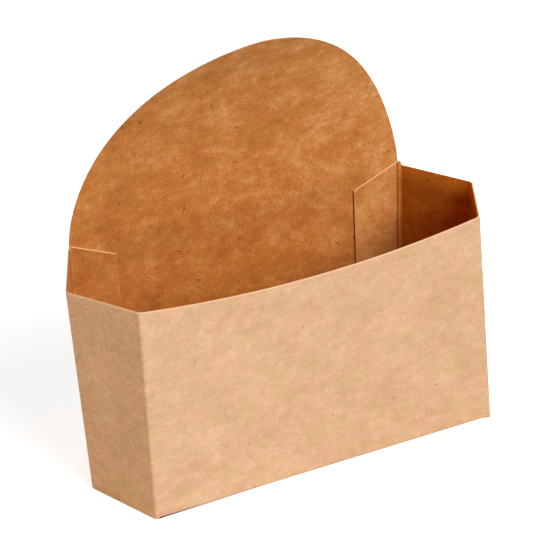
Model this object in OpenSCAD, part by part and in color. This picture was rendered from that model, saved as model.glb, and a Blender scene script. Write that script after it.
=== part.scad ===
// Pie sleeve: an open-topped pocket of kraft card for holding a round pie in the hand.
// One die-cut blank: front, bottom and back in one strip, with a creased gusset end on each
// side of the front. Each gusset ends in a glue flap that lies on the inside of the back.

/* [Card] */
// Thickness of the card
card = 0.5; // [0.35:0.05:0.8]
// Bend radius of a fold, to the middle of the card
fold_r = 0.9; // [0.6:0.1:1.5]

/* [Pocket] */
// Width of the front at the foot
foot_w = 130; // [110:1:150]
// Width of the back at the foot
back_foot_w = 125.8; // [107:0.1:149]
// Width of the front and back at the mouth
mouth_w = 127.6; // [107:0.1:149]
// Height of the pocket, from the foot to the corners of the mouth
pocket_h = 75.6; // [55:0.2:95]
// Depth of the foot, front to back
foot_d = 60; // [40:1:80]
// How far the front leans back from the foot to the mouth
front_lean = 3; // [0:0.2:12]
// How far a gusset's middle crease stands out at the foot
gusset_out = 10.6; // [6:0.2:20]
// How far the mouth dips at a gusset's middle crease
gusset_dip = 0.8; // [0:0.1:6]
// How far the concave top edge of the front dips in the middle
front_dip = 4.4; // [2:0.2:10]

/* [Back] */
// Height above the mouth at which the back leaves the vertical
curl_rise = 0.5; // [0.5:0.5:20]
// Radius of the forward curl of the tall back
curl_r = 102; // [80:1:160]
// Height of the arched top, measured along the curled card
arch_h = 76.8; // [45:0.2:80]
// Fullness of the arch at its shoulders, where 2 is an ellipse
arch_side = 1.7; // [1.4:0.1:2.6]
// Fullness of the arch at its crown, where 2 is an ellipse
arch_crown = 1.6; // [1.2:0.1:2.6]

/* [Glue flaps] */
// Width of a glue flap
flap_w = 17.4; // [10:0.2:24]
// Slope of a flap's top and bottom edge, as the height lost over its width
flap_drop = 6.6; // [3:0.1:12]
// Depth to which a glued flap presses into the back
flap_press = 0.05; // [0.02:0.01:0.15]

/* [Bottom] */
// Clearance between the bottom panel's ends and the gussets' folds
bottom_clear = 1.5; // [1:0.1:4]
// How far the rounding of a foot fold runs past the bottom panel's ends
foot_relief = 0.3; // [0.1:0.1:0.6]

/* [Hidden] */
$fn = 96;
// Steps in the bend of one fold
fold_steps = 4;
// Steps in half of the arch
arch_steps = 28;
// Amount by which a cutting shape passes the face it cuts
cut = 2;
front_y = -foot_d / 2;
back_y = foot_d / 2;
flap_y = back_y - 1.5 * card + flap_press;
curl_z = pocket_h + curl_rise;
sheet_w = max(foot_w, back_foot_w, mouth_w);

function unit(v) = v / norm(v);
function side(v) = [v.y, -v.x];

// The right front and back folds in plan, to the middle of the card, where the pocket is this
// wide and deep
function front_fold(width, depth) = [(width - card) / 2, back_y - depth + card / 2];
function back_fold(width) = [(width - card) / 2, flap_y];

// Width of half a gusset, from a fold to its middle crease
gusset_w = norm([gusset_out, norm(back_fold(back_foot_w) - front_fold(foot_w, foot_d)) / 2]);

// The right gusset's middle crease in plan, between its front fold and its back fold
function crease(front, back) =
    let (out = sqrt(pow(gusset_w, 2) - pow(norm(back - front) / 2, 2)))
    (front + back) / 2 + side(unit(back - front)) * out;

// Middle of the card in plan, from the left flap's edge round the front to the right flap's edge
function gusset_line(front, back) =
    let (right = [front, crease(front, back), back, [back.x - flap_w, back.y]])
    concat([for (i = [3:-1:0]) [-right[i].x, right[i].y]], right);

// One corner of a line in plan, rounded to fold_r
function bend(p, q, r) =
    let (u = unit(q - p), v = unit(r - q), turn = atan2(u.x * v.y - u.y * v.x, u * v))
    let (start = q - u * fold_r * tan(abs(turn) / 2), centre = start - side(u) * fold_r * sign(turn))
    [for (i = [0:fold_steps])
        let (b = turn * i / fold_steps, k = sign(turn) * fold_r)
        centre + k * [side(u).x * cos(b) - side(u).y * sin(b), side(u).x * sin(b) + side(u).y * cos(b)]];

// A whole line in plan with every fold rounded
function bent_line(line) =
    let (n = len(line))
    concat([line[0]], [for (i = [1:n - 2]) each bend(line[i - 1], line[i], line[i + 1])], [line[n - 1]]);

// A line in plan moved sideways by d
function moved_line(line, d) =
    let (n = len(line))
    [for (i = [0:n - 1])
        let (u = unit(line[min(i + 1, n - 1)] - line[min(i, n - 2)]))
        let (v = unit(line[max(i, 1)] - line[max(i - 1, 0)]))
        let (m = side(unit(u + v)))
        line[i] + m * d / (m * side(u))];

// One long edge of the gusseted wall, d outside the card's middle
function foot_edge(d) =
    let (line = gusset_line(front_fold(foot_w, foot_d), back_fold(back_foot_w)))
    [for (p = moved_line(bent_line(line), d)) [p.x, p.y, 0]];

// The same at the mouth, which dips towards the gussets' middle creases
function mouth_edge(d) =
    let (front = front_fold(mouth_w, foot_d - front_lean), back = back_fold(mouth_w))
    let (reach = crease(front, back).x - back.x)
    [for (p = moved_line(bent_line(gusset_line(front, back)), d))
        [p.x, p.y, pocket_h - gusset_dip * max(0, abs(p.x) - mouth_w / 2) / reach]];

// The gusseted wall, from the foot to the mouth. The gussets keep their width, so they stand out
// further at the mouth, where the pocket is less deep. Its four long edges run in order round the
// card's section, and mirrored pairs of triangles join each to the next.
module gusset_wall() {
    points = concat(
        foot_edge(card / 2), foot_edge(-card / 2), mouth_edge(-card / 2), mouth_edge(card / 2));
    n = len(points) / 4;
    outer = 3;
    faces = [for (row = [0:outer], i = [0:n - 2])
        let (a = row * n + i, b = (row + 1) % 4 * n + i)
        each ((i < n / 2) == (row == outer)
            ? [[a, a + 1, b + 1], [a, b + 1, b]]
            : [[a, a + 1, b], [a + 1, b + 1, b]])];
    ends = [[0, n, 2 * n, 3 * n], [n - 1, 4 * n - 1, 3 * n - 1, 2 * n - 1]];
    polyhedron(points, concat(faces, ends));
}

// The scoop taken out of the top edge of the front
module front_scoop() {
    r = (pow(mouth_w / 2, 2) + pow(front_dip, 2)) / (2 * front_dip);
    translate([0, 0, pocket_h - front_dip + r])
        rotate([90, 0, 0])
            cylinder(h = -front_y + cut, r = r, $fn = 360);
}

// The corner cut away above a right glue flap's sloping edge, where the back is this wide
module flap_corner(width) {
    reach = flap_w + cut;
    drop = flap_drop * reach / flap_w;
    translate([width / 2, back_y, 0])
        rotate([90, 0, 0])
            linear_extrude(foot_d / 4)
                polygon([[0, 0], [0, cut], [-reach, cut], [-reach, -drop]]);
}

module flap_cuts() {
    for (flip = [0, 1]) mirror([flip, 0, 0]) {
        translate([0, 0, pocket_h]) flap_corner(mouth_w);
        mirror([0, 0, 1]) flap_corner(back_foot_w);
    }
}

// Outline of the back seen from the front, with the arch foreshortened by the curl
module back_outline() {
    half = [for (i = [0:arch_steps])
        let (t = 90 * i / arch_steps, s = arch_h * pow(sin(t), 2 / arch_crown))
        [mouth_w / 2 * pow(cos(t), 2 / arch_side), curl_z + curl_r * sin(s / curl_r * 180 / PI)]];
    lower = [[back_foot_w / 2, 0], [mouth_w / 2, pocket_h]];
    right = concat(lower, half);
    n = len(right);
    polygon(concat(right, [for (i = [n - 2:-1:0]) [-right[i].x, right[i].y]]));
}

// Section of the back: upright to curl_z, then curled forward
module back_section() {
    translate([back_y - card, 0]) square([card, curl_z]);
    translate([back_y - curl_r, curl_z])
        intersection() {
            difference() {
                circle(curl_r, $fn = 360);
                circle(curl_r - card, $fn = 360);
            }
            square(curl_r);
        }
}

module back_panel() {
    intersection() {
        rotate([90, 0, 90])
            linear_extrude(sheet_w + cut, center = true)
                back_section();
        translate([0, back_y + cut, 0])
            rotate([90, 0, 0])
                linear_extrude(curl_r + cut)
                    back_outline();
    }
}

// The bottom's outline in plan, from the outside of the front to the outside of the back
module bottom_outline() {
    a = foot_w / 2 - bottom_clear;
    b = back_foot_w / 2 - bottom_clear;
    polygon([[-a, front_y], [a, front_y], [b, back_y], [-b, back_y]]);
}

// What lies between a square corner at [y, z] and a round of radius r in it, and as far past the
// corner's sides as past says, along a foot fold
module corner_round(y, z, r, past, width) {
    translate([0, y, z])
        rotate([90, 0, 90])
            linear_extrude(width, center = true)
                difference() {
                    translate([-past, -past]) square(r + past);
                    translate([r, r]) circle(r);
                }
}

// The bottom panel, with the inside of its two foot folds
module bottom_panel() {
    intersection() {
        linear_extrude(foot_d) bottom_outline();
        union() {
            translate([0, 0, card / 2]) cube([sheet_w, foot_d - card, card], center = true);
            for (turn = [0, 180])
                rotate([0, 0, turn])
                    corner_round(front_y + card, card, fold_r - card / 2, card / 2, sheet_w);
        }
    }
}

// The outside of the two foot folds, as a cut
module foot_folds() {
    for (side = [[0, foot_w], [180, back_foot_w]])
        rotate([0, 0, side[0]])
            corner_round(front_y, 0, fold_r + card / 2, cut, side[1] - 2 * (bottom_clear - foot_relief));
}

module sleeve() {
    color("burlywood") difference() {
        union() {
            difference() {
                gusset_wall();
                front_scoop();
                flap_cuts();
            }
            back_panel();
            bottom_panel();
        }
        foot_folds();
    }
}

sleeve();
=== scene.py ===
import math

import bpy
import numpy as np
from mathutils import Matrix, Vector


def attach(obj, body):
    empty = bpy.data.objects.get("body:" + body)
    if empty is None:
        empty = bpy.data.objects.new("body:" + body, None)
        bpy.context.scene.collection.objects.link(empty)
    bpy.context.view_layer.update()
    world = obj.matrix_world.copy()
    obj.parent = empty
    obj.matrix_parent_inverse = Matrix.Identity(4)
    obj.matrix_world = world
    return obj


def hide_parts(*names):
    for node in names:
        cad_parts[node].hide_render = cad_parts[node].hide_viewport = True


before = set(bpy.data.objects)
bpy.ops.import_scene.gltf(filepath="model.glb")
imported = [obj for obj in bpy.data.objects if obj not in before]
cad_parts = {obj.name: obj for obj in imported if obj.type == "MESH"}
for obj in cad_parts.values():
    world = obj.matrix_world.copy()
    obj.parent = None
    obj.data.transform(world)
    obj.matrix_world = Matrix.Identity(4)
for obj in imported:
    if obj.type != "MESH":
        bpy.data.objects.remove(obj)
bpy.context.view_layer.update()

MM = 0.001

# Sizes of the folded blank in millimetres, as in the part's source apart from the front's dip, which
# is the photographed sleeve's
CARD = 0.5
FOLD_R = 0.9
FOOT_W = 130.0
BACK_FOOT_W = 125.8
MOUTH_W = 127.6
POCKET_H = 75.6
FOOT_D = 60.0
FRONT_LEAN = 3.0
GUSSET_OUT = 10.6
GUSSET_DIP = 0.8
FRONT_DIP = 4.6
CURL_Z = POCKET_H + 0.5
CURL_R = 102.0
ARCH_H = 76.8
ARCH_SIDE = 1.7
ARCH_CROWN = 1.6
FLAP_W = 17.4
FLAP_DROP = 6.6
FLAP_PRESS = 0.05
BACK_Y = FOOT_D / 2

# How the photographed sleeve departs from the square one: shifts in x, y and z of the mouth's corners,
# from the left flap's edge round the front to the right flap's edge
MOUTH_SHIFT = np.array([
    (-1.2, 0.0, 0.25), (-0.4, 0.0, 0.1), (0.3, 0.0, 0.2), (-0.45, 0.1, 0.2),
    (0.1, 0.1, 1.1), (-0.15, 0.0, 0.6), (1.2, 0.0, -0.95), (-0.7, 0.0, 0.7)])

# How far the glued flaps' free edges, left and right, stand off the back
FLAP_LIFT = [0.2, 0.32]

# How far the flaps' top edges, left and right, start above the gussets'
FLAP_RISE = [0.9, 1.75]

# Creases: the bead that a score raises on the inside of a fold, as heights at distances from the
# middle of the fold, and the deeper one of the right flap, where the distance is negative in the flap
BEAD_PLACES = [0.0, 0.5, 0.95, 1.2, 1.45]
BEAD_HEIGHTS = [0.36, 0.28, -0.06, -0.1, 0.0]
FLAP_BEAD_PLACES = [-1.75, -1.5, -1.25, -1.05, -0.4, 0.0, 0.5, 0.9]
FLAP_BEAD_HEIGHTS = [0.0, -0.16, -0.16, 0.26, 0.3, 0.4, 0.12, 0.0]
# Painted shade: the dark line beside the right flap's crease, its place from the fold and its width
CREASE_SHADE_PLACE = -1.3
CREASE_SHADE_W = 0.26

# How far before the right flap's fold its own bead takes over from the plain one
FLAP_BEAD_START = 2.0

# The small wander of the right flap's crease: size, length and phase of each wave
WANDER = [(0.09, 3.7, 0.0), (0.05, 1.6, 1.0)]

# Painted highlight: the paler line along the flaps' free edges, where they catch the light: its strength and
# its width
EDGE_HIGHLIGHT = 0.5
EDGE_HIGHLIGHT_W = 0.25

# How far the die slants the cut edges, so that they show from the outside, and on the flaps from
# the inside, with the lengths over which the first slant fades along the flaps and grows up the back
SLANT = 0.4
FLAP_SLANT = 0.2
FLAP_FADE = 1.5
SLANT_FADE = 10.0

# Places of the mesh's lines beside a fold, in millimetres from the end of its bend
NEAR_FOLD = [0.0, 0.2, 0.45, 0.6, 0.72, 0.82, 0.92, 1.02, 1.12, 1.22, 1.35, 1.6, 2.1]

# The same on the bottom panel, with the place of its first plain line
NEAR_BOTTOM = [0.12, 0.3, 0.6, 1.0, 1.6]
BOTTOM_START = 4

# The mesh's steps: in a wall's bend, in a foot fold, along a panel, up the walls and over the arch, whose
# last row lies this many degrees round its curve. Plain rows keep clear of those beside a fold.
BEND_STEPS = 10
FOOT_STEPS = 6
PANEL_STEP = 2.4
ROW_STEP = 2.2
ROW_CLEAR = 0.4
ARCH_ROWS = 60
ARCH_END = 88.8

# About how much of a panel's end a bend takes
BEND_REACH = FOLD_R * 0.73


# Plan of the gusseted wall

def unit(v):
    return v / np.linalg.norm(v, axis=-1, keepdims=True)


def outward(v):
    return np.stack([v[..., 1], -v[..., 0]], -1)


def folds(front_width, back_width, depth):
    """The right front fold and the right back fold."""
    return (np.array([(front_width - CARD) / 2, BACK_Y - depth + CARD / 2]),
            np.array([(back_width - CARD) / 2, BACK_Y - 1.5 * CARD + FLAP_PRESS]))


FOOT_FOLDS = folds(FOOT_W, BACK_FOOT_W, FOOT_D)
MOUTH_FOLDS = folds(MOUTH_W, MOUTH_W, FOOT_D - FRONT_LEAN)
GUSSET_W = math.hypot(GUSSET_OUT, np.linalg.norm(FOOT_FOLDS[1] - FOOT_FOLDS[0]) / 2)


def wall_corners(front, back):
    """The wall's eight corners, from the left flap's edge round the front to the right flap's edge."""
    out = math.sqrt(GUSSET_W ** 2 - np.linalg.norm(back - front) ** 2 / 4)
    crease = (front + back) / 2 + outward(unit(back - front)) * out
    right = np.array([front, crease, back, (back[0] - FLAP_W, back[1])])
    return np.concatenate([right[::-1] * (-1, 1), right])


def plan_corners(f):
    """The corners at the heights f, from 0 at the foot to 1 at the mouth."""
    foot = wall_corners(*FOOT_FOLDS)
    foot[[0, -1], 1] -= FLAP_LIFT
    mouth = wall_corners(*MOUTH_FOLDS) + MOUTH_SHIFT[:, :2]
    mouth[[0, -1], 1] -= FLAP_LIFT
    return foot + (mouth - foot) * np.asarray(f)[:, None, None]


def spread(length, step):
    """Distances along a panel from one bend to the next, close together beside the folds."""
    near = NEAR_FOLD
    inner = np.linspace(near[-1], length - near[-1], max(2, round((length - 2 * near[-1]) / step) + 1))
    return np.concatenate([near[:-1], inner, [length - d for d in reversed(near[:-1])]])


def wall_columns():
    """Each column of the wall's mesh as (panel or bend, number, share along it)."""
    corners = plan_corners([0.5])[0]
    columns = []
    for k in range(7):
        length = np.linalg.norm(corners[k + 1] - corners[k])
        cut_start = 0 if k == 0 else BEND_REACH
        cut_end = 0 if k == 6 else BEND_REACH
        places = spread(length - cut_start - cut_end, PANEL_STEP) / (length - cut_start - cut_end)
        columns += [("panel", k, t) for t in places]
        if k < 6:
            columns += [("bend", k + 1, i / BEND_STEPS) for i in range(1, BEND_STEPS)]
    return columns


COLUMNS = wall_columns()


def plan_line(f):
    """The wall's middle line in plan at each height in f: one point for each column."""
    p = plan_corners(f)
    starts, ends, arcs = {}, {}, {}
    for k in range(1, 7):
        u, v = unit(p[:, k] - p[:, k - 1]), unit(p[:, k + 1] - p[:, k])
        turn = np.arctan2(u[:, 0] * v[:, 1] - u[:, 1] * v[:, 0], (u * v).sum(1))
        reach = (FOLD_R * np.tan(np.abs(turn) / 2))[:, None]
        sign = np.sign(turn)[:, None]
        starts[k], ends[k] = p[:, k] - u * reach, p[:, k] + v * reach
        arcs[k] = (starts[k] - outward(u) * FOLD_R * sign, outward(u) * FOLD_R * sign, turn)
    line = np.zeros((len(p), len(COLUMNS), 2))
    for j, (kind, k, t) in enumerate(COLUMNS):
        if kind == "panel":
            a = ends[k] if k > 0 else p[:, 0]
            b = starts[k + 1] if k < 6 else p[:, 7]
            line[:, j] = a + (b - a) * t
        else:
            centre, arm, turn = arcs[k]
            c, s = np.cos(turn * t), np.sin(turn * t)
            line[:, j] = centre + np.stack([arm[:, 0] * c - arm[:, 1] * s, arm[:, 0] * s + arm[:, 1] * c], 1)
    return line


def blank_positions():
    """Each column's place along the flat blank, from the middle of the front."""
    line = plan_line([0.5])[0]
    s = np.concatenate([[0], np.cumsum(np.linalg.norm(np.diff(line, axis=0), axis=1))])
    return s - s[-1] / 2


ALONG = blank_positions()
BENDS = [np.mean([ALONG[j] for j, c in enumerate(COLUMNS) if c[:2] == ("bend", k)]) for k in range(1, 7)]


# Heights of the wall's cut edges

def front_edge(x):
    r = ((MOUTH_W / 2) ** 2 + FRONT_DIP ** 2) / (2 * FRONT_DIP)
    return POCKET_H - FRONT_DIP + r - math.sqrt(r * r - min(abs(x), MOUTH_W / 2) ** 2)


def corner_mix(j, values):
    """One value for each of the eight corners, mixed for column j."""
    marks = [ALONG[0]] + BENDS + [ALONG[-1]]
    return float(np.interp(ALONG[j], marks, values))


def top_edge(j, x):
    kind, k, t = COLUMNS[j]
    z = POCKET_H + corner_mix(j, MOUTH_SHIFT[:, 2])
    z -= corner_mix(j, [0, 0, GUSSET_DIP, 0, 0, GUSSET_DIP, 0, 0])
    if BENDS[2] < ALONG[j] < BENDS[3]:
        z += front_edge(x) - POCKET_H
    side = int(ALONG[j] > 0)
    if (kind, k) == ("panel", 6 * side):
        z += FLAP_RISE[side] * (1 - flap_slope(j) / FLAP_DROP)
    elif (kind, k) == ("bend", (1, 6)[side]):
        z += FLAP_RISE[side] * (1 - (t, 1 - t)[side] ** 3)
    return z - flap_slope(j)


def past_flap_fold(j):
    """How far column j lies out on its flap, or 0 elsewhere."""
    return max(BENDS[0] - ALONG[j], ALONG[j] - BENDS[5], 0)


def flap_slope(j):
    """How far the flap's sloping edges have come in at column j."""
    return FLAP_DROP * past_flap_fold(j) / FLAP_W


def wavy(z):
    """The small wander of the right flap's crease at the height z."""
    return sum(size * math.sin(z / length + phase) for size, length, phase in WANDER)


def bead(distance):
    """How far a crease lifts the card's inside at this distance from the middle of its fold."""
    return float(np.interp(abs(distance), BEAD_PLACES, BEAD_HEIGHTS))


def painted_crease_shade(distance):
    """How much of the painted shade, a dark line beside the right flap's crease, falls at this distance."""
    return math.exp(-((distance - CREASE_SHADE_PLACE) / CREASE_SHADE_W) ** 2)


def wall_crease(j, z):
    """The lift of the card's inside and the painted highlight and shade on it at column j and height z."""
    distances = [ALONG[j] - b for b in BENDS]
    free_edge = min(ALONG[j] - ALONG[0], ALONG[-1] - ALONG[j])
    mark = EDGE_HIGHLIGHT * math.exp(-(free_edge / EDGE_HIGHLIGHT_W) ** 2)
    if distances[5] > -FLAP_BEAD_START:
        d = wavy(z) - distances[5]
        return float(np.interp(d, FLAP_BEAD_PLACES, FLAP_BEAD_HEIGHTS)), mark - painted_crease_shade(d)
    return bead(min(distances, key=abs)), mark


# The folded card as one sheet

class Sheet:
    """The middle surface of the card: points, their places on the flat blank, and quads. Each point
    has a lift of the inside, painted highlight and shade on it, and shifts of the outside and the
    inside for the slant of a cut edge."""

    def __init__(self):
        self.points, self.blank, self.quads = [], [], []
        self.lift, self.mark, self.shift_out, self.shift_in = [], [], [], []

    def add(self, point, blank, lift=0.0, mark=0.0, shift_out=(0, 0, 0), shift_in=(0, 0, 0)):
        self.points.append(point)
        self.blank.append(blank)
        self.lift.append(lift)
        self.mark.append(mark)
        self.shift_out.append(shift_out)
        self.shift_in.append(shift_in)
        return len(self.points) - 1

    def grid(self, rows):
        """Quads between rows of point numbers. Rows run up and columns run right, seen from outside."""
        for low, high in zip(rows, rows[1:]):
            for j in range(len(low) - 1):
                corners = [low[j], low[j + 1], high[j + 1], high[j]]
                if len(set(corners)) == 4 and min(corners) >= 0:
                    self.quads.append(corners)


FOOT_Z = CARD / 2 + FOLD_R

# The relief cut beside each end of the front's foot fold: its column and its width at the floor
SLIT = NEAR_FOLD.index(0.6)
SLIT_GAP = 0.35


def build_sheet():
    sheet = Sheet()
    n = len(COLUMNS)
    front = [j for j, c in enumerate(COLUMNS) if c[:2] == ("panel", 3)]
    left, right = front[SLIT], front[-1 - SLIT]
    rows_above = round((POCKET_H - FOOT_Z) / ROW_STEP)
    count = FOOT_STEPS + rows_above + 1
    wall = -np.ones((count, n), int)
    strip_foot = {}
    foot_line = plan_line([0.0])[0]
    for j in range(n):
        x_mouth = foot_line[j, 0] * MOUTH_W / FOOT_W
        low = flap_slope(j)
        high = top_edge(j, x_mouth)
        z = np.concatenate([low + FOOT_Z * np.arange(FOOT_STEPS) / FOOT_STEPS,
                            np.linspace(low + FOOT_Z, high, rows_above + 1)])
        xy = plan_line(z / POCKET_H)[:, j]
        slant_out = SLANT * max(0, 1 - past_flap_fold(j) / FLAP_FADE)
        slant_in = FLAP_SLANT * (1 - slant_out / SLANT)
        for i in range(count):
            inside = left < j < right
            if i < FOOT_STEPS and left <= j <= right:
                turn = math.pi / 2 * (1 - i / FOOT_STEPS)
                y = xy[FOOT_STEPS, 1] + FOLD_R * (1 - math.cos(turn))
                arc = (foot_line[j, 0], y, FOOT_Z - FOLD_R * math.sin(turn))
                v = FOOT_Z - FOLD_R * turn
                lift = bead(FOLD_R * (turn - math.pi / 4))
                strip_foot[i, j] = sheet.add(arc, (ALONG[j], v), lift)
                if inside:
                    wall[i, j] = strip_foot[i, j]
                    continue
            shift = slit_shift(j, left, right, i)
            point = (xy[i, 0] + shift, xy[i, 1], z[i])
            at_edge = i == count - 1
            wall[i, j] = sheet.add(point, (ALONG[j], z[i]), *wall_crease(j, z[i]),
                                   (0, 0, -slant_out * at_edge), (0, 0, -slant_in * at_edge))
    sheet.grid([list(row[:left + 1]) for row in wall])
    sheet.grid([list(row[right:]) for row in wall])
    middle = [[strip_foot.get((i, j), wall[i, j]) for j in range(left, right + 1)] for i in range(count)]
    sheet.grid(middle)
    add_bottom_and_back(sheet, middle[0], [ALONG[j] for j in range(left, right + 1)])
    return sheet


def slit_shift(j, left, right, i):
    """Opens the small relief cut between the front's corner and its foot fold."""
    open_share = max(0.0, 1 - i / FOOT_STEPS)
    if j == left:
        return -SLIT_GAP * open_share
    if j == right:
        return SLIT_GAP * open_share
    return 0.0


def back_profile(s):
    """(y, z) of the back's middle at the height s along the card."""
    if s <= CURL_Z:
        return BACK_Y - CARD / 2, s
    a = (s - CURL_Z) / CURL_R
    r = CURL_R - CARD / 2
    return BACK_Y - CURL_R + r * math.cos(a), CURL_Z + r * math.sin(a)


def back_half_width(s):
    return float(np.interp(s, [0, POCKET_H], [BACK_FOOT_W / 2, MOUTH_W / 2]))


# The bottom's depth between its folds, and where the bottom and the back start on the blank
BOTTOM_D = FOOT_D - 2 * FOOT_Z
V_FRONT = FOOT_Z - FOLD_R * math.pi / 2
V_BACK = V_FRONT - BOTTOM_D - FOLD_R * math.pi / 2


def add_bottom_and_back(sheet, first, places):
    """The strip behind the front's foot fold: the bottom, the back's foot fold and the back."""
    rows = [first]
    bottom_steps = round(BOTTOM_D / (2 * ROW_STEP))
    plain = np.linspace(BOTTOM_START, BOTTOM_D - BOTTOM_START, bottom_steps)
    depths = np.concatenate([NEAR_BOTTOM, plain, [BOTTOM_D - d for d in reversed(NEAR_BOTTOM)]])
    for d in depths:
        lift = bead(min(d, BOTTOM_D - d) + FOLD_R * math.pi / 4)
        y = -FOOT_D / 2 + FOOT_Z + d
        taper = 1 + (BACK_FOOT_W / FOOT_W - 1) * d / BOTTOM_D
        rows.insert(0, [sheet.add((x * taper, y, CARD / 2), (x, V_FRONT - d), lift) for x in places])
    bend_start = V_FRONT - BOTTOM_D
    places = [x * BACK_FOOT_W / FOOT_W for x in places]
    for i in range(FOOT_STEPS + 1):
        turn = math.pi / 2 * i / FOOT_STEPS
        y = BACK_Y - FOOT_Z + FOLD_R * math.sin(turn)
        z = FOOT_Z - FOLD_R * math.cos(turn)
        lift = bead(FOLD_R * (turn - math.pi / 4))
        rows.insert(0, [sheet.add((x, y, z), (x, bend_start - FOLD_R * turn), lift) for x in places])
    sheet.grid(rows)
    add_back(sheet, rows[0], places)


def add_back(sheet, first, places):
    """The back above its foot fold, with a square corner left down to the floor on each side."""
    edge = BACK_FOOT_W / 2
    sides = [places[0] - (edge + places[0]) * t for t in (1.0, 0.5)]
    across = np.array(sides + list(places) + [-x for x in reversed(sides)]) / edge
    n = len(sides)
    heights = list(FOOT_Z * np.arange(FOOT_STEPS) / FOOT_STEPS)
    flat = list(np.linspace(FOOT_Z, CURL_Z, round((CURL_Z - FOOT_Z) / ROW_STEP)))
    near = [FOOT_Z + d for d in NEAR_FOLD[1:]]
    flat = sorted(set(near + [s for s in flat if s > near[-1] + ROW_CLEAR or s == FOOT_Z]))
    rows = []
    for s in heights + flat:
        y, z = back_profile(s)
        half = back_half_width(s)
        row = []
        for c, share in enumerate(across):
            corner = c <= n or c >= len(across) - 1 - n
            if s < FOOT_Z and not corner:
                row.append(-1)
                continue
            if s == FOOT_Z and n <= c < len(across) - n:
                row.append(first[c - n])
                continue
            lift = 0.0 if corner else bead(s - FOOT_Z + FOLD_R * math.pi / 4)
            slant = SLANT * min(1, max(0, s - FOOT_Z) / SLANT_FADE)
            blank = (share * edge, V_BACK - (s - FOOT_Z))
            row.append(sheet.add((share * half, y, z), blank, lift, 0.0, (-slant * share, 0, 0)))
        rows.insert(0, row)
    for i in range(1, ARCH_ROWS + 1):
        t = math.radians(ARCH_END * i / ARCH_ROWS)
        s = CURL_Z + ARCH_H * math.sin(t) ** (2 / ARCH_CROWN)
        narrow = math.cos(t) ** (2 / ARCH_SIDE)
        half = MOUTH_W / 2 * narrow
        y, z = back_profile(s)
        curl = (s - CURL_Z) / CURL_R
        low = SLANT * math.sin(t) ** (2 / ARCH_CROWN)
        rows.insert(0, [sheet.add((share * half, y, z), (share * half, V_BACK - (s - FOOT_Z)), 0.0, 0.0,
                                  (-SLANT * share * narrow, low * math.sin(curl), -low * math.cos(curl)))
                        for share in across])
    sheet.grid(rows)


# Thickness

def card_object(name, sheet, materials):
    """Gives the sheet its thickness as one closed mesh: outside, inside and cut edges."""
    points, quads = np.array(sheet.points), np.array(sheet.quads)
    p = points[quads]
    face_normals = np.cross(p[:, 2] - p[:, 0], p[:, 3] - p[:, 1])
    normals = np.zeros_like(points)
    for corner in range(4):
        a = p[:, (corner + 1) % 4] - p[:, corner]
        b = p[:, (corner - 1) % 4] - p[:, corner]
        angle = np.arccos(np.clip((unit(a) * unit(b)).sum(1), -1, 1))
        np.add.at(normals, quads[:, corner], unit(face_normals) * angle[:, None])
    normals = unit(normals)
    lift = np.array(sheet.lift)[:, None]
    outer = points + normals * CARD / 2 + np.array(sheet.shift_out)
    inner = points - normals * (CARD / 2 + lift) + np.array(sheet.shift_in)
    for side in (outer, inner):
        side[:, 2] = np.maximum(side[:, 2], 0)
    n = len(points)
    edges = {}
    for q in sheet.quads:
        for a, b in zip(q, q[1:] + q[:1]):
            edges[a, b] = True
    rim = [[b, a, a + n, b + n] for a, b in edges if (b, a) not in edges]
    faces = sheet.quads + [[a + n for a in reversed(q)] for q in sheet.quads] + rim
    kinds = [0] * len(quads) + [1] * len(quads) + [2] * len(rim)
    mesh = bpy.data.meshes.new(name)
    mesh.from_pydata((np.concatenate([outer, inner]) * MM).tolist(), [], faces)
    mesh.polygons.foreach_set("material_index", kinds)
    mesh.polygons.foreach_set("use_smooth", [True] * len(faces))
    for material in materials:
        mesh.materials.append(material)
    write_attributes(mesh, sheet)
    sharp = mesh.attributes.new("sharp_edge", "BOOLEAN", "EDGE")
    kind_of = {}
    for face, kind in zip(mesh.polygons, kinds):
        for key in face.edge_keys:
            kind_of.setdefault(key, set()).add(kind)
    sharp.data.foreach_set("value", [len(kind_of[e.key]) > 1 for e in mesh.edges])
    mesh.validate()
    mesh.update()
    card = bpy.data.objects.new(name, mesh)
    bpy.context.scene.collection.objects.link(card)
    return card


# Painted light and shade: a slow drift of lightness across the blank that stands in for how the light falls,
# as places from the middle of the front, and shares
PAINTED_LIGHT_PLACES = [-143, -64, 0, 64, 72, 92, 98, 112, 128, 143]
PAINTED_LIGHT_SHARES = [-0.03, -0.07, 0.0, 0.03, -0.06, -0.06, 0.05, 0.07, 0.10, 0.10]

# Painted sheen and shade on the back's inside: redder at its foot and paler towards its top, as heights and
# shares, and paler towards its sides by the last share
PAINTED_SHEEN_PLACES = [30, 90, 150]
PAINTED_SHEEN_SHARES = [-1.0, 0.0, 1.0]
PAINTED_SHEEN_SIDES = 0.6

# How much painted shade, a redder and deeper tint of the inside where it lies in shade, most in the right
# gusset, lies at distances from the middle of the front
PAINTED_SHADE_PLACES = [-127, -125.5, -72, -64, 64, 72, 125.5, 127]
PAINTED_SHADE_SHARES = [-0.1, 0.2, 0.2, 0.0, 0.0, 1.0, 1.0, 0.15]

# Where the outside's grain is stronger, on the gussets
END_PLACES = [-126, -124, -66, -64, 64, 66, 124, 126]
END_SHARES = [0.0, 1.0, 1.0, 0.0, 0.0, 1.0, 1.0, 0.0]


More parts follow.
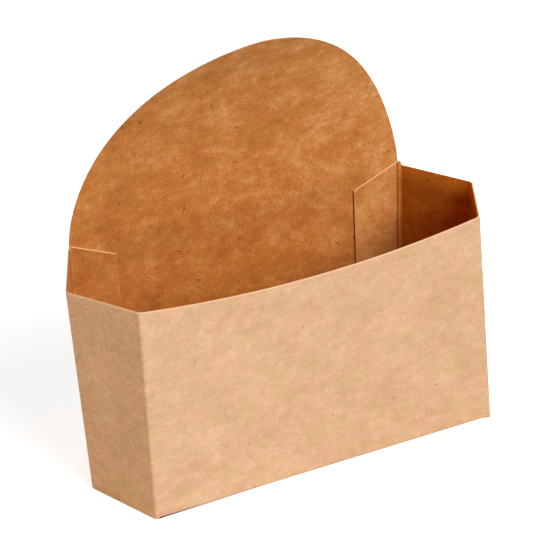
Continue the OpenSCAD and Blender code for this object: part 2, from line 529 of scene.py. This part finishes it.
def write_attributes(mesh, sheet):
    """The place on the flat blank as a UV map in millimetres, the slow drifts of painted light,
    shade and sheen, the painted highlight and shade of the edges and crease, and the gussets' share.
    """
    blank = np.array(sheet.blank + sheet.blank)
    corners = np.zeros(len(mesh.loops), int)
    mesh.loops.foreach_get("vertex_index", corners)
    layer = mesh.uv_layers.new(name="blank")
    layer.data.foreach_set("uv", blank[corners].ravel())
    # Painted sheen and shade on the back only: paler towards the top and the sides, redder at the foot
    on_back = blank[:, 1] < V_BACK
    height = np.interp(V_BACK + FOOT_Z - blank[:, 1], PAINTED_SHEEN_PLACES, PAINTED_SHEEN_SHARES)
    painted_sheen_and_shade = np.where(on_back, height + PAINTED_SHEEN_SIDES * (blank[:, 0] / (MOUTH_W / 2)) ** 2, 0)
    for name, values in (("mark", sheet.mark + sheet.mark),
                         ("painted_light_and_shade", np.interp(blank[:, 0], PAINTED_LIGHT_PLACES, PAINTED_LIGHT_SHARES)),
                         ("painted_sheen_and_shade", painted_sheen_and_shade),
                         ("deep", np.interp(blank[:, 0], PAINTED_SHADE_PLACES, PAINTED_SHADE_SHARES)),
                         ("end", np.interp(blank[:, 0], END_PLACES, END_SHARES))):
        mesh.attributes.new(name, "FLOAT", "POINT").data.foreach_set("value", values)


# Materials

# The roughness of the grain's own noise, and how rough the card is and how much its grain changes that
GRAIN_ROUGHNESS = 0.9
CARD_ROUGHNESS = 0.8
ROUGHNESS_GRAIN = 0.15
BUMP_DISTANCE = 0.1 * MM

# How far apart the noise of the layers, of the fibres and of the hue is taken
LAYER_SHIFT = 13
SPECK_SHIFT = 31
HUE_SHIFT = 71

# Red, green and blue gains of the slow drift of hue
HUE_DRIFT = (0.14, -0.1, 0.24)
NO_TINT = (0, 0, 0)


def new_material(name):
    material = bpy.data.materials.new(name)
    material.use_nodes = True
    return material, material.node_tree.nodes, material.node_tree.links


def math_node(nodes, links, kind, a, b=None, clamp=False):
    node = nodes.new("ShaderNodeMath")
    node.operation = kind
    node.use_clamp = clamp
    for socket, value in zip(node.inputs, (a, b)):
        if value is None:
            continue
        if isinstance(value, (int, float)):
            socket.default_value = value
        else:
            links.new(value, socket)
    return node.outputs[0]


def grain(nodes, links, coordinates, scale, detail, offset):
    """Noise about 0 on the blank, with its own scale along and across the fibres, per millimetre."""
    mapping = nodes.new("ShaderNodeMapping")
    mapping.inputs["Scale"].default_value = (scale[0], scale[1], 1)
    mapping.inputs["Location"].default_value = (offset, offset * 0.7, offset)
    links.new(coordinates, mapping.inputs["Vector"])
    noise = nodes.new("ShaderNodeTexNoise")
    noise.inputs["Scale"].default_value = 1
    noise.inputs["Detail"].default_value = detail
    noise.inputs["Roughness"].default_value = GRAIN_ROUGHNESS
    links.new(mapping.outputs[0], noise.inputs["Vector"])
    return math_node(nodes, links, "SUBTRACT", noise.outputs["Fac"], 0.5)


def fibres(nodes, links, coordinates, cell, share, length, width, offset):
    """A mask of short bent fibres, at most one in each cell of the blank, turned at random."""
    moved = nodes.new("ShaderNodeMapping")
    moved.inputs["Location"].default_value = (offset, -offset, 0)
    links.new(coordinates, moved.inputs["Vector"])
    cells = nodes.new("ShaderNodeTexVoronoi")
    cells.voronoi_dimensions = "2D"
    cells.inputs["Scale"].default_value = 1 / cell
    cells.inputs["Randomness"].default_value = 0.9
    links.new(moved.outputs[0], cells.inputs["Vector"])
    local = nodes.new("ShaderNodeVectorMath")
    local.operation = "SUBTRACT"
    links.new(moved.outputs[0], local.inputs[0])
    links.new(cells.outputs["Position"], local.inputs[1])
    chance = nodes.new("ShaderNodeSeparateColor")
    links.new(cells.outputs["Color"], chance.inputs[0])
    turned = nodes.new("ShaderNodeVectorRotate")
    turned.rotation_type = "Z_AXIS"
    links.new(local.outputs[0], turned.inputs["Vector"])
    links.new(math_node(nodes, links, "MULTIPLY", chance.outputs[0], math.tau), turned.inputs["Angle"])
    axes = nodes.new("ShaderNodeSeparateXYZ")
    links.new(turned.outputs[0], axes.inputs[0])
    along = math_node(nodes, links, "DIVIDE", axes.outputs[0], length / 2)
    squared = math_node(nodes, links, "MULTIPLY", along, along)
    side = math_node(nodes, links, "SUBTRACT", chance.outputs[2], 0.5)
    bow = math_node(nodes, links, "MULTIPLY", side, width * 3)
    drop = math_node(nodes, links, "MULTIPLY", squared, bow)
    bent = math_node(nodes, links, "SUBTRACT", axes.outputs[1], drop)
    across = math_node(nodes, links, "DIVIDE", bent, width / 2)
    reach = math_node(nodes, links, "ADD", squared, math_node(nodes, links, "MULTIPLY", across, across))
    inside_it = math_node(nodes, links, "SUBTRACT", 1.0, reach, clamp=True)
    chosen = math_node(nodes, links, "LESS_THAN", chance.outputs[1], share)
    return math_node(nodes, links, "MULTIPLY", inside_it, chosen)


def to_screen(v):
    return 12.92 * v if v < 0.0031308 else 1.055 * v ** (1 / 2.4) - 0.055


def to_linear(v):
    return v / 12.92 if v < 0.04045 else ((v + 0.055) / 1.055) ** 2.4


def shades(base, step):
    """One linear colour made darker, plain, and lighter by even steps as the eye sees them."""
    return [[to_linear(min(1, max(0, to_screen(v) + way * step))) for v in base] for way in (-1, 0, 1)]


def attribute(nodes, name):
    node = nodes.new("ShaderNodeAttribute")
    node.attribute_name = name
    return node.outputs["Fac"]


def weighted_sum(nodes, links, parts, start):
    """start plus each part times its weight."""
    total = start
    for value, weight in parts:
        total = math_node(nodes, links, "ADD", math_node(nodes, links, "MULTIPLY", value, weight), total)
    return total


def kraft(name, colour, offset, layers, gains, deep, painted_sheen_and_shade, surface, specks):
    """Plain brown kraft card: blotches and grain, slight drifts of hue, and short dark and light fibres.
    The gains are those of the painted light and shade across the blank, of the painted highlight and
    shade of the edges and crease, and of the gussets' finer grain. The tints are painted shade, redder
    and deeper, and painted sheen and shade, paler above and redder at the foot, each added where its
    drift is 1, and the surface is its bump's strength and its specular level."""
    material, nodes, links = new_material(name)
    shader = nodes["Principled BSDF"]
    place = nodes.new("ShaderNodeUVMap")
    place.uv_map = "blank"
    parts = []
    for number, (scale, detail, weight) in enumerate(layers):
        last = grain(nodes, links, place.outputs[0], scale, detail, offset + LAYER_SHIFT * number)
        parts.append((last, weight))
    parts.append((math_node(nodes, links, "MULTIPLY", last, attribute(nodes, "end")), gains[2]))
    for number, (cell, share, length, width, depth) in enumerate(specks):
        shift = offset + SPECK_SHIFT * number
        mask = fibres(nodes, links, place.outputs[0], cell, share, length, width, shift)
        parts.append((mask, depth))
    # Painted light and shade across the blank, and the painted highlight and shade of the edges and crease
    parts += [(attribute(nodes, "painted_light_and_shade"), gains[0]), (attribute(nodes, "mark"), gains[1])]
    ramp = nodes.new("ShaderNodeValToRGB")
    ramp.color_ramp.elements.new(0.5)
    for element, position, shade in zip(ramp.color_ramp.elements, (0.0, 0.5, 1.0), colour):
        element.position = position
        element.color = (*shade, 1)
    links.new(weighted_sum(nodes, links, parts, 0.5), ramp.inputs["Fac"])
    hue = grain(nodes, links, place.outputs[0], (0.09, 0.12), 2, offset + HUE_SHIFT)
    # The random drift of hue, and the tints of painted shade and of painted sheen and shade
    drifts = (hue, attribute(nodes, "deep"), attribute(nodes, "painted_sheen_and_shade"))
    tint = nodes.new("ShaderNodeCombineXYZ")
    for socket, *shares in zip(tint.inputs, HUE_DRIFT, deep, painted_sheen_and_shade):
        links.new(weighted_sum(nodes, links, zip(drifts, shares), 1.0), socket)
    tinted = nodes.new("ShaderNodeVectorMath")
    tinted.operation = "MULTIPLY"
    links.new(ramp.outputs["Color"], tinted.inputs[0])
    links.new(tint.outputs[0], tinted.inputs[1])
    links.new(tinted.outputs[0], shader.inputs["Base Color"])
    shader.inputs["Specular IOR Level"].default_value = surface[1]
    rough = weighted_sum(nodes, links, [(last, ROUGHNESS_GRAIN)], CARD_ROUGHNESS)
    links.new(rough, shader.inputs["Roughness"])
    bump = nodes.new("ShaderNodeBump")
    bump.inputs["Strength"].default_value = surface[0]
    bump.inputs["Distance"].default_value = BUMP_DISTANCE
    links.new(last, bump.inputs["Height"])
    links.new(bump.outputs[0], shader.inputs["Normal"])
    return material


OUTSIDE_COLOUR = (0.660, 0.403, 0.237)
INSIDE_COLOUR = (0.594, 0.216, 0.050)
# The cut edges' colour: paler fibres, made lighter still as a painted highlight where the edges catch the
# light
CUT_COLOUR_AND_HIGHLIGHT = (0.88, 0.54, 0.32)

# The outside carries the painted light and shade across the blank, with the opposite sign
outside = kraft(
    "kraft_outside", shades(OUTSIDE_COLOUR, 0.19), 0.0,
    [((0.05, 0.07), 2, 0.38), ((0.25, 0.36), 3, 0.45), ((0.9, 1.7), 2, 0.38)],
    (-0.5, 0.0, 0.5), NO_TINT, NO_TINT, (1.0, 0.1),
    [(17, 0.25, 2.2, 0.4, -0.5), (6, 0.35, 1.3, 0.4, -0.16), (5, 0.4, 1.8, 0.4, 0.12)])
# The inside carries the painted light and shade, the painted highlight and shade of the edges and crease,
# and the tints of painted shade and of painted sheen and shade
inside = kraft(
    "kraft_inside", shades(INSIDE_COLOUR, 0.30), 57.0,
    [((0.05, 0.07), 2, 0.5), ((0.28, 0.32), 3, 0.54), ((1.1, 1.4), 2, 0.42)],
    (1.0, 0.28, 0.0), (0.0, -0.2, -0.7), (0.05, 0.18, 0.4), (0.4, 0.02),
    [(14, 0.24, 2.8, 0.5, -0.5), (6, 0.4, 1.4, 0.5, -0.25), (5, 0.4, 1.6, 0.4, 0.12)])
# The cut edges, lighter partly by a painted highlight
cut = kraft(
    "kraft_cut_edge_and_highlight", shades(CUT_COLOUR_AND_HIGHLIGHT, 0.1), 91.0,
    [((0.5, 2.0), 2, 0.5), ((2.0, 6.0), 1, 0.5)], (0.0, 0.0, 0.0), NO_TINT, NO_TINT, (0.2, 0.1), [])


# The card

sheet = build_sheet()
card = card_object("card_sleeve", sheet, [outside, inside, cut])
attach(card, "root")
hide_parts("sleeve")


# Floor and light

FLOOR_ALBEDO = 0.85
FLOOR_GLOW = 0.78
# Painted contact shadow on the floor: how far it reaches, where it starts at the left, over what length it
# fades, and its strength
CONTACT_REACH = 0.7 * MM
CONTACT_LEFT = -64.1 * MM
CONTACT_LENGTH = 45 * MM
CONTACT_GAIN = 1.6
FLOOR_HALF = 3.0
LAMP_DISTANCE = 3.0
LAMP_AIM = Vector((0, 0, 0.06))


def seen_directly(nodes, links):
    """1 for camera, glossy and transmission rays, and 0 for the rays that light the card."""
    path = nodes.new("ShaderNodeLightPath")
    seen = math_node(nodes, links, "MAXIMUM", path.outputs["Is Camera Ray"], path.outputs["Is Glossy Ray"])
    return math_node(nodes, links, "MAXIMUM", seen, path.outputs["Is Transmission Ray"])


def painted_contact_shadow(nodes, links):
    """Painted contact shadow: a share that darkens the floor's colour and glow in the narrow gap under the
    front's foot, most at the left.
    """
    near = nodes.new("ShaderNodeAmbientOcclusion")
    near.inputs["Distance"].default_value = CONTACT_REACH
    hidden = math_node(nodes, links, "SUBTRACT", 1.0, near.outputs["AO"])
    hidden = math_node(nodes, links, "MULTIPLY", hidden, CONTACT_GAIN, clamp=True)
    axes = nodes.new("ShaderNodeSeparateXYZ")
    links.new(nodes.new("ShaderNodeNewGeometry").outputs["Position"], axes.inputs[0])
    inward = math_node(nodes, links, "SUBTRACT", axes.outputs[0], CONTACT_LEFT)
    way = math_node(nodes, links, "DIVIDE", inward, CONTACT_LENGTH)
    faded = math_node(nodes, links, "SUBTRACT", 1.0, way, clamp=True)
    started = math_node(nodes, links, "GREATER_THAN", inward, 0.0)
    strength = math_node(nodes, links, "MULTIPLY", faded, started)
    darkened = math_node(nodes, links, "MULTIPLY", hidden, strength)
    return math_node(nodes, links, "SUBTRACT", 1.0, darkened)


def add_floor():
    mesh = bpy.data.meshes.new("floor")
    corners = [(x * FLOOR_HALF, y * FLOOR_HALF, 0) for x, y in ((-1, -1), (1, -1), (1, 1), (-1, 1))]
    mesh.from_pydata(corners, [], [(0, 1, 2, 3)])
    material, nodes, links = new_material("floor_white")
    # Painted contact shadow on the floor's colour and its glow
    share = painted_contact_shadow(nodes, links)
    shader = nodes["Principled BSDF"]
    links.new(math_node(nodes, links, "MULTIPLY", share, FLOOR_ALBEDO), shader.inputs["Base Color"])
    shader.inputs["Roughness"].default_value = 0.9
    glow = nodes.new("ShaderNodeEmission")
    shown = math_node(nodes, links, "MULTIPLY", seen_directly(nodes, links), FLOOR_GLOW)
    links.new(math_node(nodes, links, "MULTIPLY", shown, share), glow.inputs["Strength"])
    both = nodes.new("ShaderNodeAddShader")
    links.new(shader.outputs[0], both.inputs[0])
    links.new(glow.outputs[0], both.inputs[1])
    links.new(both.outputs[0], nodes["Material Output"].inputs["Surface"])
    mesh.materials.append(material)
    floor = bpy.data.objects.new("floor", mesh)
    bpy.context.scene.collection.objects.link(floor)


def add_world():
    """A world that lights nothing and shows as white."""
    world = bpy.data.worlds.new("studio")
    bpy.context.scene.world = world
    world.use_nodes = True
    nodes, links = world.node_tree.nodes, world.node_tree.links
    dark = nodes["Background"]
    dark.inputs["Strength"].default_value = 0.0
    white = nodes.new("ShaderNodeBackground")
    white.inputs["Strength"].default_value = 1.0
    white.inputs["Color"].default_value = (1, 1, 1, 1)
    mix = nodes.new("ShaderNodeMixShader")
    links.new(seen_directly(nodes, links), mix.inputs[0])
    links.new(dark.outputs[0], mix.inputs[1])
    links.new(white.outputs[0], mix.inputs[2])
    links.new(mix.outputs[0], nodes["World Output"].inputs["Surface"])


def direction_to(azimuth, elevation):
    a, e = math.radians(azimuth), math.radians(elevation)
    return Vector((math.sin(a) * math.cos(e), -math.cos(a) * math.cos(e), math.sin(e)))


def add_softbox(name, azimuth, elevation, power, width=1.5, height=1.5, colour=(1, 1, 1)):
    """A flat lamp that faces the sleeve."""
    back = direction_to(azimuth, elevation)
    lamp = bpy.data.lights.new(name, "AREA")
    lamp.shape = "RECTANGLE"
    lamp.size = width
    lamp.size_y = height
    lamp.energy = power
    lamp.color = colour
    box = bpy.data.objects.new(name, lamp)
    bpy.context.scene.collection.objects.link(box)
    box.location = LAMP_AIM + back * LAMP_DISTANCE
    box.rotation_mode = "QUATERNION"
    box.rotation_quaternion = (-back).to_track_quat("-Z", "Y")


add_floor()
add_world()
add_softbox("key", 29, 40, 50)
add_softbox("front", 11, 32, 46)
add_softbox("low", -80, 0.9, 33, 1.6, 0.2, (1, 0.75, 0.45))
add_softbox("rear", 154, 20, 22)


# Camera, solved from the photograph's corners and outline

CAMERA_YAW = -26.298
CAMERA_PITCH = 26.628
CAMERA_ROLL = -2.960
CAMERA_DISTANCE = 7.6129 * FOOT_W * MM
CAMERA_ACROSS = -0.1323 * FOOT_W * MM
CAMERA_UP = 0.4976 * FOOT_W * MM
CAMERA_FOCUS = 2900.0
PHOTO_WIDTH = 555
SENSOR = 36.0


def add_camera():
    yaw, roll = math.radians(CAMERA_YAW), math.radians(CAMERA_ROLL)
    back = direction_to(CAMERA_YAW, CAMERA_PITCH)
    right = Vector((math.cos(yaw), math.sin(yaw), 0))
    up = back.cross(right)
    across = right * math.cos(roll) + up * math.sin(roll)
    above = up * math.cos(roll) - right * math.sin(roll)
    data = bpy.data.cameras.new("camera")
    data.sensor_width = SENSOR
    data.lens = CAMERA_FOCUS / PHOTO_WIDTH * SENSOR
    data.clip_start, data.clip_end = 0.05, 20
    camera = bpy.data.objects.new("camera", data)
    bpy.context.scene.collection.objects.link(camera)
    place = back * CAMERA_DISTANCE + across * CAMERA_ACROSS + above * CAMERA_UP
    place.y -= FOOT_D / 2 * MM
    turn = Matrix((across, above, back)).transposed().to_4x4()
    camera.matrix_world = Matrix.Translation(place) @ turn
    bpy.context.scene.camera = camera


add_camera()
bpy.context.scene.view_settings.view_transform = "Standard"
